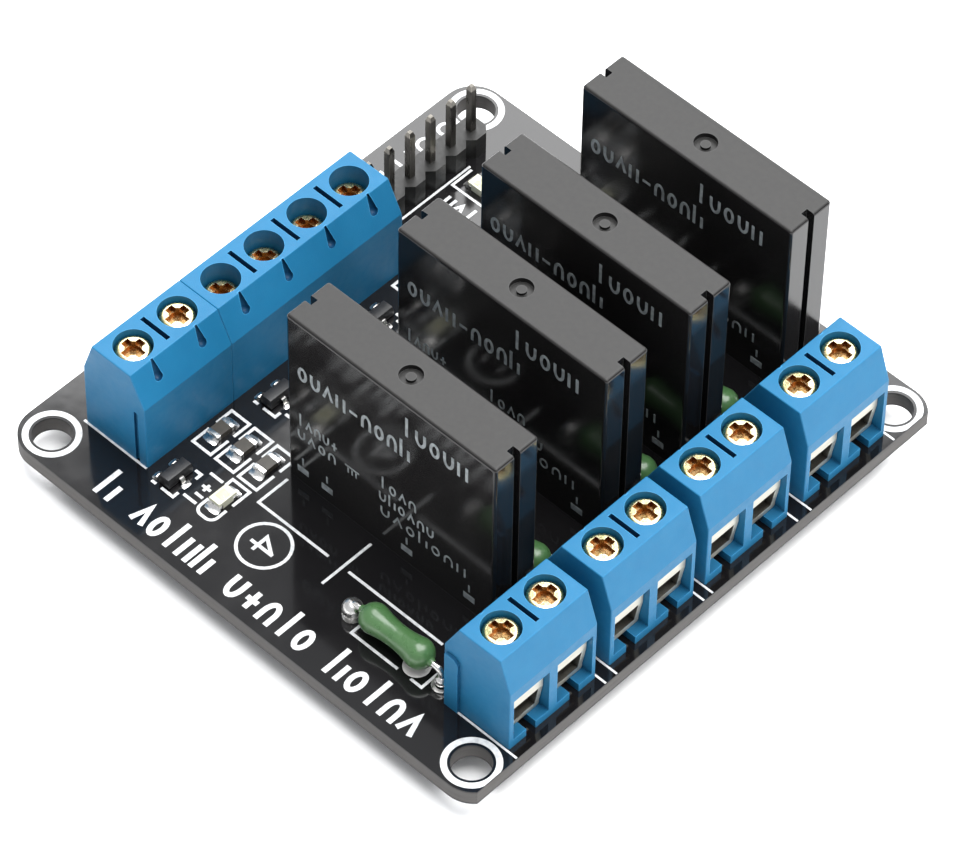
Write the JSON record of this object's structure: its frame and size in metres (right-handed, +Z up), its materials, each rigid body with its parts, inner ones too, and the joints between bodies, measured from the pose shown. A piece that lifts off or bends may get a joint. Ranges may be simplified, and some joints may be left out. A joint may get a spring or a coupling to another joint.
{
  "type": "solid state relay module",
  "caption": "Solid state relay module: upright sealed relays, fuses, screw terminals for signal and load wires and a pin header on a square board with corner holes.",
  "frame": {"origin": "centre of the four-hole mounting pattern on the underside of the board", "axes": "+Z up out of the component side, +X from the input terminals towards the output terminals, +Y along the terminal rows towards the pin header's end"},
  "size_m": [0.0543, 0.057, 0.0239],
  "materials": {
    "board": "glossy black solder mask over glass-fibre board",
    "solder": "bright tin solder",
    "blue_plastic": "semi-gloss moulded blue nylon",
    "cage_steel": "plated steel with a dull sheen",
    "screw_zinc": "yellow zinc plated steel, read as brass",
    "tinned": "tin plated copper",
    "pin_metal": "dark plated brass posts",
    "black_plastic": "moulded black plastic",
    "relay_plastic": "black moulded case, satin on top and glossy on its faces",
    "potting": "dark epoxy",
    "ceramic": "white ceramic substrate",
    "chip_plastic": "moulded black epoxy",
    "fuse_coat": "pale green lacquer",
    "resistor": "black glass overcoat with tinned ends",
    "led": "clear epoxy over a white base"
  },
  "bodies": {
    "board": {"circuit_board": "board", "driver_transistors": "chip_plastic", "fuse_body_1": "fuse_coat", "fuse_body_2": "fuse_coat", "fuse_body_3": "fuse_coat", "fuse_body_4": "fuse_coat", "fuse_leads": "tinned", "header_base": "black_plastic", "header_pins": "pin_metal", "indicator_leds": "led", "input_contacts": "tinned", "input_housing_2way": "blue_plastic", "input_housing_4way": "blue_plastic", "input_resistors": "resistor", "output_contacts": "tinned", "output_housing_1": "blue_plastic", "output_housing_2": "blue_plastic", "output_housing_3": "blue_plastic", "output_housing_4": "blue_plastic", "relay_case_1": "relay_plastic", "relay_case_2": "relay_plastic", "relay_case_3": "relay_plastic", "relay_case_4": "relay_plastic", "relay_leads": "tinned", "relay_optocouplers": "chip_plastic", "relay_potting": "potting", "relay_substrates": "ceramic", "relay_triacs": "chip_plastic", "solder_joints": "solder", "transistor_feet": "tinned"},
    "input_screw_1": {"input_screw_1": "screw_zinc"},
    "input_cage_1": {"input_cage_1": "cage_steel"},
    "input_screw_2": {"input_screw_2": "screw_zinc"},
    "input_cage_2": {"input_cage_2": "cage_steel"},
    "input_screw_3": {"input_screw_3": "screw_zinc"},
    "input_cage_3": {"input_cage_3": "cage_steel"},
    "input_screw_4": {"input_screw_4": "screw_zinc"},
    "input_cage_4": {"input_cage_4": "cage_steel"},
    "input_screw_5": {"input_screw_5": "screw_zinc"},
    "input_cage_5": {"input_cage_5": "cage_steel"},
    "input_screw_6": {"input_screw_6": "screw_zinc"},
    "input_cage_6": {"input_cage_6": "cage_steel"},
    "output_screw_1": {"output_screw_1": "screw_zinc"},
    "output_cage_1": {"output_cage_1": "cage_steel"},
    "output_screw_2": {"output_screw_2": "screw_zinc"},
    "output_cage_2": {"output_cage_2": "cage_steel"},
    "output_screw_3": {"output_screw_3": "screw_zinc"},
    "output_cage_3": {"output_cage_3": "cage_steel"},
    "output_screw_4": {"output_screw_4": "screw_zinc"},
    "output_cage_4": {"output_cage_4": "cage_steel"},
    "output_screw_5": {"output_screw_5": "screw_zinc"},
    "output_cage_5": {"output_cage_5": "cage_steel"},
    "output_screw_6": {"output_screw_6": "screw_zinc"},
    "output_cage_6": {"output_cage_6": "cage_steel"},
    "output_screw_7": {"output_screw_7": "screw_zinc"},
    "output_cage_7": {"output_cage_7": "cage_steel"},
    "output_screw_8": {"output_screw_8": "screw_zinc"},
    "output_cage_8": {"output_cage_8": "cage_steel"}
  },
  "joints": [
    {"name": "input_screw_1_turn", "type": "hinge", "parent": "board", "child": "input_screw_1", "pos_m": [-0.01983, -0.02014, 0.01], "axis": [0, 0, -1], "range_deg": [0, 1165]},
    {"name": "input_cage_1_rise", "type": "slide", "parent": "board", "child": "input_cage_1", "axis": [0, 0, 1], "range_m": [0, 0.00145]},
    {"name": "input_screw_2_turn", "type": "hinge", "parent": "board", "child": "input_screw_2", "pos_m": [-0.01983, -0.01506, 0.01], "axis": [0, 0, -1], "range_deg": [0, 1165]},
    {"name": "input_cage_2_rise", "type": "slide", "parent": "board", "child": "input_cage_2", "axis": [0, 0, 1], "range_m": [0, 0.00145]},
    {"name": "input_screw_3_turn", "type": "hinge", "parent": "board", "child": "input_screw_3", "pos_m": [-0.01983, -0.00998, 0.01], "axis": [0, 0, -1], "range_deg": [0, 1165]},
    {"name": "input_cage_3_rise", "type": "slide", "parent": "board", "child": "input_cage_3", "axis": [0, 0, 1], "range_m": [0, 0.00145]},
    {"name": "input_screw_4_turn", "type": "hinge", "parent": "board", "child": "input_screw_4", "pos_m": [-0.01983, -0.0049, 0.01], "axis": [0, 0, -1], "range_deg": [0, 1165]},
    {"name": "input_cage_4_rise", "type": "slide", "parent": "board", "child": "input_cage_4", "axis": [0, 0, 1], "range_m": [0, 0.00145]},
    {"name": "input_screw_5_turn", "type": "hinge", "parent": "board", "child": "input_screw_5", "pos_m": [-0.01983, 0.00018, 0.01], "axis": [0, 0, -1], "range_deg": [0, 1165]},
    {"name": "input_cage_5_rise", "type": "slide", "parent": "board", "child": "input_cage_5", "axis": [0, 0, 1], "range_m": [0, 0.00145]},
    {"name": "input_screw_6_turn", "type": "hinge", "parent": "board", "child": "input_screw_6", "pos_m": [-0.01983, 0.00526, 0.01], "axis": [0, 0, -1], "range_deg": [0, 1165]},
    {"name": "input_cage_6_rise", "type": "slide", "parent": "board", "child": "input_cage_6", "axis": [0, 0, 1], "range_m": [0, 0.00145]},
    {"name": "output_screw_1_turn", "type": "hinge", "parent": "board", "child": "output_screw_1", "pos_m": [0.02218, -0.02014, 0.01], "axis": [0, 0, -1], "range_deg": [0, 1165]},
    {"name": "output_cage_1_rise", "type": "slide", "parent": "board", "child": "output_cage_1", "axis": [0, 0, 1], "range_m": [0, 0.00145]},
    {"name": "output_screw_2_turn", "type": "hinge", "parent": "board", "child": "output_screw_2", "pos_m": [0.02218, -0.01506, 0.01], "axis": [0, 0, -1], "range_deg": [0, 1165]},
    {"name": "output_cage_2_rise", "type": "slide", "parent": "board", "child": "output_cage_2", "axis": [0, 0, 1], "range_m": [0, 0.00145]},
    {"name": "output_screw_3_turn", "type": "hinge", "parent": "board", "child": "output_screw_3", "pos_m": [0.02218, -0.00832, 0.01], "axis": [0, 0, -1], "range_deg": [0, 1165]},
    {"name": "output_cage_3_rise", "type": "slide", "parent": "board", "child": "output_cage_3", "axis": [0, 0, 1], "range_m": [0, 0.00145]},
    {"name": "output_screw_4_turn", "type": "hinge", "parent": "board", "child": "output_screw_4", "pos_m": [0.02218, -0.00324, 0.01], "axis": [0, 0, -1], "range_deg": [0, 1165]},
    {"name": "output_cage_4_rise", "type": "slide", "parent": "board", "child": "output_cage_4", "axis": [0, 0, 1], "range_m": [0, 0.00145]},
    {"name": "output_screw_5_turn", "type": "hinge", "parent": "board", "child": "output_screw_5", "pos_m": [0.02218, 0.00326, 0.01], "axis": [0, 0, -1], "range_deg": [0, 1165]},
    {"name": "output_cage_5_rise", "type": "slide", "parent": "board", "child": "output_cage_5", "axis": [0, 0, 1], "range_m": [0, 0.00145]},
    {"name": "output_screw_6_turn", "type": "hinge", "parent": "board", "child": "output_screw_6", "pos_m": [0.02218, 0.00834, 0.01], "axis": [0, 0, -1], "range_deg": [0, 1165]},
    {"name": "output_cage_6_rise", "type": "slide", "parent": "board", "child": "output_cage_6", "axis": [0, 0, 1], "range_m": [0, 0.00145]},
    {"name": "output_screw_7_turn", "type": "hinge", "parent": "board", "child": "output_screw_7", "pos_m": [0.02218, 0.01541, 0.01], "axis": [0, 0, -1], "range_deg": [0, 1165]},
    {"name": "output_cage_7_rise", "type": "slide", "parent": "board", "child": "output_cage_7", "axis": [0, 0, 1], "range_m": [0, 0.00145]},
    {"name": "output_screw_8_turn", "type": "hinge", "parent": "board", "child": "output_screw_8", "pos_m": [0.02218, 0.02049, 0.01], "axis": [0, 0, -1], "range_deg": [0, 1165]},
    {"name": "output_cage_8_rise", "type": "slide", "parent": "board", "child": "output_cage_8", "axis": [0, 0, 1], "range_m": [0, 0.00145]}
  ],
  "couplings": [
    {"joint": "input_screw_1_turn", "follows": "input_cage_1_rise", "rad_per_m": 13963},
    {"joint": "input_screw_2_turn", "follows": "input_cage_2_rise", "rad_per_m": 13963},
    {"joint": "input_screw_3_turn", "follows": "input_cage_3_rise", "rad_per_m": 13963},
    {"joint": "input_screw_4_turn", "follows": "input_cage_4_rise", "rad_per_m": 13963},
    {"joint": "input_screw_5_turn", "follows": "input_cage_5_rise", "rad_per_m": 13963},
    {"joint": "input_screw_6_turn", "follows": "input_cage_6_rise", "rad_per_m": 13963},
    {"joint": "output_screw_1_turn", "follows": "output_cage_1_rise", "rad_per_m": 13963},
    {"joint": "output_screw_2_turn", "follows": "output_cage_2_rise", "rad_per_m": 13963},
    {"joint": "output_screw_3_turn", "follows": "output_cage_3_rise", "rad_per_m": 13963},
    {"joint": "output_screw_4_turn", "follows": "output_cage_4_rise", "rad_per_m": 13963},
    {"joint": "output_screw_5_turn", "follows": "output_cage_5_rise", "rad_per_m": 13963},
    {"joint": "output_screw_6_turn", "follows": "output_cage_6_rise", "rad_per_m": 13963},
    {"joint": "output_screw_7_turn", "follows": "output_cage_7_rise", "rad_per_m": 13963},
    {"joint": "output_screw_8_turn", "follows": "output_cage_8_rise", "rad_per_m": 13963}
  ]
}
